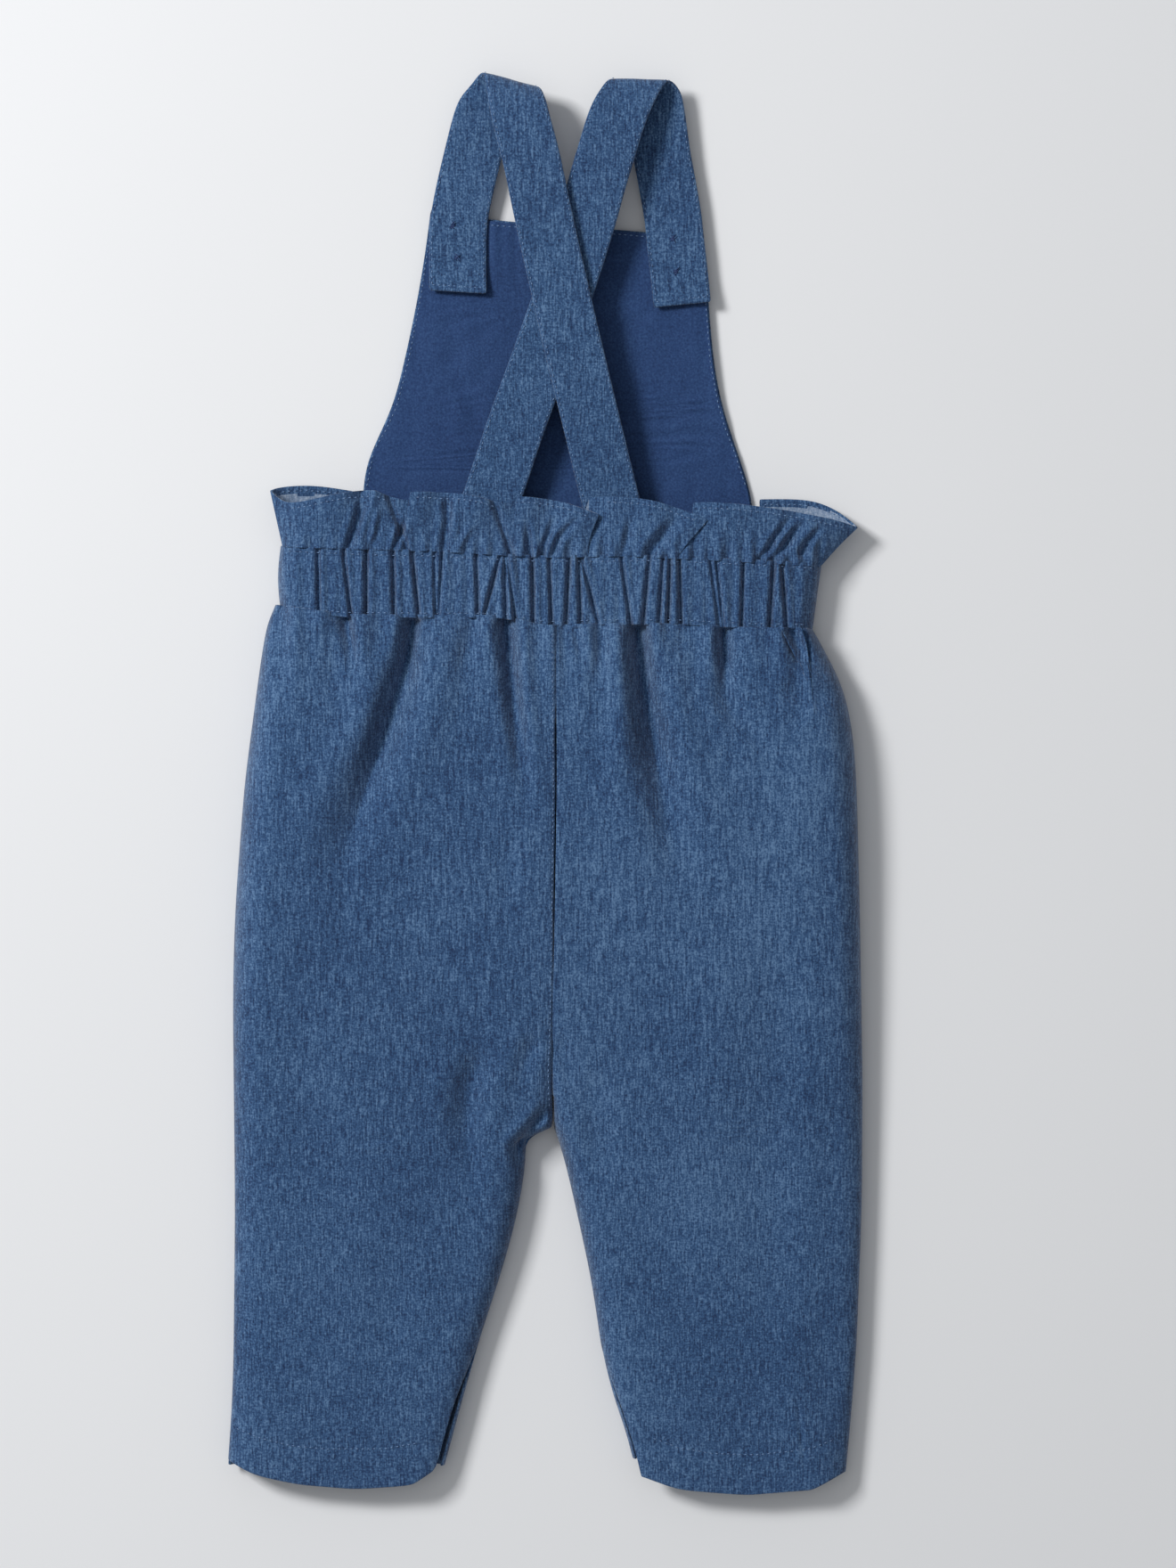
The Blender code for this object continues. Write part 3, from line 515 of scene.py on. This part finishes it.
strapLength = {}
for name, rows in strapRows.items():
    path, strapLength[name] = smoothPath(rows, strap["stations"])
    bm = bmesh.new()
    grids = ([], [])
    phase = 1.3 if name == "strap_left" else 4.1
    for i in range(len(path)):
        top, low = [], []
        for c in range(strap["across"] + 1):
            k = 2 * c / strap["across"] - 1
            middle, normal = strapPoint(path, i, k)
            edge = abs(k) ** 10
            wave = 0.12 * math.sin(i / 4.1 + phase + 2 * k) + 0.09 * math.sin(i / 1.7 + 5 * k)
            seamDip = 0.22 * math.exp(-((abs(k) - 0.90) / 0.035) ** 2)
            half = strap["cloth"] / 2 * (1 - 0.35 * edge) - seamDip
            top.append(bm.verts.new((middle + normal * (half + wave)) * mm))
            low.append(bm.verts.new((middle - normal * (half - wave)) * mm))
        grids[0].append(top)
        grids[1].append(low)
    top, low = grids
    last, wide = len(path) - 1, strap["across"]
    for i in range(last):
        for c in range(wide):
            bm.faces.new((top[i][c], top[i][c + 1], top[i + 1][c + 1], top[i + 1][c]))
            bm.faces.new((low[i][c], low[i + 1][c], low[i + 1][c + 1], low[i][c + 1]))
        bm.faces.new((top[i][0], top[i + 1][0], low[i + 1][0], low[i][0]))
        bm.faces.new((top[i][wide], low[i][wide], low[i + 1][wide], top[i + 1][wide]))
    for c in range(wide):
        bm.faces.new((top[0][c], low[0][c], low[0][c + 1], top[0][c + 1]))
        bm.faces.new((top[last][c], top[last][c + 1], low[last][c + 1], low[last][c]))
    sheets[name] = finishMesh(name + "_cloth", bm, chambray, [name])
    sheets[name].modifiers.new("fine", "SUBSURF").levels = 1
    sheets[name].modifiers["fine"].render_levels = 1

    bm = bmesh.new()   # edge stitching on both faces, and across the tab end
    dense, _ = smoothPath(rows, int(strapLength[name] / strap["stitchStep"]) * 3)
    edgeK = 1 - 2 * strap["stitchIn"] / strap["width"]
    for face in (1, -1):
        rise = strap["cloth"] / 2 - 0.08
        for k in (-edgeK, edgeK):
            for i in range(0, len(dense) - 5, 3):
                a, normal = strapPoint(dense, i, k)
                b, _ = strapPoint(dense, i + 2, k)
                addStitch(bm, a + normal * rise * face, b + normal * rise * face, normal * face)
        stepCount = int(strap["width"] / strap["stitchStep"])
        for n in range(stepCount):
            k0 = -edgeK + 2 * edgeK * n / stepCount
            a, normal = strapPoint(dense, len(dense) - 4, k0)
            b, _ = strapPoint(dense, len(dense) - 4, k0 + 2 * edgeK / stepCount * 0.7)
            addStitch(bm, a + normal * rise * face, b + normal * rise * face, normal * face)
    finishMesh(name + "_stitches", bm, threadMat)
print("straps done")


# stitch rows laid on the finished cloth

def stitchRow(bm, tree, route, step=2.6, closed=0.72):
    # stitches along a route of (x, y) in mm, dropped onto the cloth below
    route = np.array(route, float)
    lengths = np.concatenate([[0], np.cumsum(np.linalg.norm(np.diff(route, axis=0), axis=1))])

    def drop(s):
        x = np.interp(s, lengths, route[:, 0])
        y = np.interp(s, lengths, route[:, 1])
        hit, normal, _, _ = tree.ray_cast(Vector((x, y, 60)) * mm, Vector((0, 0, -1)))
        return (hit / mm, normal) if hit else (None, None)

    s = 0.4
    while s + step < lengths[-1]:
        a, normal = drop(s)
        b, _ = drop(s + step * closed)
        if a is not None and b is not None and (b - a).length < step * 1.6:
            addStitch(bm, a + normal * 0.05, b + normal * 0.05, normal)
        s += step


def surfaceOf(piece):
    return BVHTree.FromPolygons([v.co.copy() for v in piece.data.vertices],
                                [tuple(p.vertices) for p in piece.data.polygons])


stitchRows = {
    "back_left": [[(3.2, 68), (3.8, 0), (3.2, -50), (2.4, -100), (1.4, -130), (1.8, -146)],
                  [(-139, -289), (-128, -293), (-114, -296.4), (-98, -298), (-72, -297.8), (-56,
                                                                                            -295)]],
    "back_right": [[(48, -293), (60, -297.5), (75, -300), (95, -300.6), (118, -298), (132, -293)]],
    "band": [[(-116, 104.2), (-80, 102.6), (-50, 102), (-15, 100.2), (0, 99.7), (26, 99.6), (46,
                                                                                             100),
              (86, 98.4), (121, 96.6)],
             [(-117, 79.8), (-90, 76.8), (-50, 76.4), (-20, 76.4), (0, 72.6), (26, 73.4), (60,
                                                                                           73.4),
              (90, 71.8), (118, 71.4)]],
    "frill": [[(-114, 123.4), (-106, 124.2), (-98, 126.2), (-88, 128), (-76, 128.8), (-69, 126)],
              [(-58, 128.2), (-46, 127.7), (-38, 127.4), (-29, 126), (-20, 123.2)],
              [(-11, 126), (-2, 125.4), (8, 123.6), (21, 119)],
              [(27, 126.3), (41, 125.4), (50, 124), (60, 120.6), (70, 116.8)],
              [(70, 123.6), (86, 122.7), (100, 121.2), (113, 119.2), (126, 116.6), (135, 114.6)]],
    "frontFrill_left": [[(-119, 131.2), (-114, 131.8), (-106, 132), (-98, 131.4), (-89, 130.4)]],
    "frontFrill_right": [[(98, 125.8), (106, 125.8), (114, 125.7), (122, 124.6), (130, 121.4),
                          (136, 117.4)]],
    "lining": [[(-50.5, 256.4), (-26, 251.5), (32, 247.4), (46, 246.2), (69, 244.4)],
               [(-52, 246), (-56.2, 218), (-61.7, 190), (-66.9, 170), (-71.4, 160), (-77.3, 150),
                (-80.6, 133)],
               [(70, 238), (72.4, 214), (74.2, 190), (78, 170), (81, 160), (85, 150), (87.2, 143),
                (91, 132)]],
}
for key, rows in stitchRows.items():
    bm = bmesh.new()
    tree = surfaceOf(sheets[key])
    for route in rows:
        stitchRow(bm, tree, route)
    finishMesh("stitches_" + key, bm, threadMat)

# button threads: a small cross through the strap tab at each button
threadMarks = {"strap_right": [(-41.4, 251), (-39.6, 236.7)], "strap_left": [(57.6, 245.2), (58.8,
                                                                                             230.4)]}
bm = bmesh.new()
for name, marks in threadMarks.items():
    tree = surfaceOf(sheets[name])
    for x, y in marks:
        for n in range(9):
            angle = random.choice((0.7, 2.4)) + random.uniform(-0.35, 0.35)
            dx, dy = 1.9 * math.cos(angle), 1.9 * math.sin(angle)
            ox, oy = random.uniform(-0.7, 0.7), random.uniform(-1.2, 1.2)
            hit, normal, _, _ = tree.ray_cast(Vector((x, y, 60)) * mm, Vector((0, 0, -1)))
            if hit:
                centre = hit / mm + Vector((ox, oy, 0.12))
                addStitch(bm, centre - Vector((dx, dy, 0)), centre + Vector((dx, dy, 0)), normal,
                          0.45, 0.35)
darkThread = plainMaterial("darkThread", (0.008, 0.02, 0.09), (0.02, 0.05, 0.16), 0.6, 900)
finishMesh("buttonThreads", bm, darkThread)
print("stitching done")

for node in ("button_left_upper", "button_left_lower", "button_right_upper", "button_right_lower"):
    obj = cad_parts[node]
    obj.data.materials.clear()
    obj.data.materials.append(buttonMat)

# floor, light and camera
room = {"floorSize": 6, "floorDrop": 0.0003, "sky": (0.93, 0.96, 1, 1), "skyStrength": 0.30}
bpy.ops.mesh.primitive_plane_add(size=room["floorSize"], location=(0, 0, -room["floorDrop"]))
floor = bpy.context.object
floor.name = "paleFloor"
floorMat = plainMaterial("paperWhite", (0.74, 0.745, 0.755), (0.76, 0.765, 0.775), 0.9, 3)
floor.data.materials.append(floorMat)


def softLight(name, place, size, power):
    data = bpy.data.lights.new(name, "AREA")
    data.size = size
    data.energy = power
    lamp = bpy.data.objects.new(name, data)
    lamp.location = place
    lamp.rotation_euler = (Vector((0, 0, 0)) - Vector(place)).to_track_quat("-Z", "Y").to_euler()
    bpy.context.collection.objects.link(lamp)


softLight("keyLight", (-1.55, 0.95, 1.75), 0.62, 56)
softLight("fillLight", (-0.6, 0.2, 2.7), 2.6, 10)
world = bpy.data.worlds.new("studio")
world.use_nodes = True
world.node_tree.nodes["Background"].inputs["Color"].default_value = room["sky"]
world.node_tree.nodes["Background"].inputs["Strength"].default_value = room["skyStrength"]
bpy.context.scene.world = world
bpy.context.scene.view_settings.view_transform = "Standard"

shot = {"distance": 2.4, "tall": 0.704, "x": 0.0192, "y": 0.0}
camData = bpy.data.cameras.new("shot")
camData.sensor_width = 36
camData.lens = 36 * shot["distance"] / shot["tall"]
camera = bpy.data.objects.new("shot", camData)
camera.location = (shot["x"], shot["y"], shot["distance"] + 0.01)
bpy.context.collection.objects.link(camera)
bpy.context.scene.camera = camera
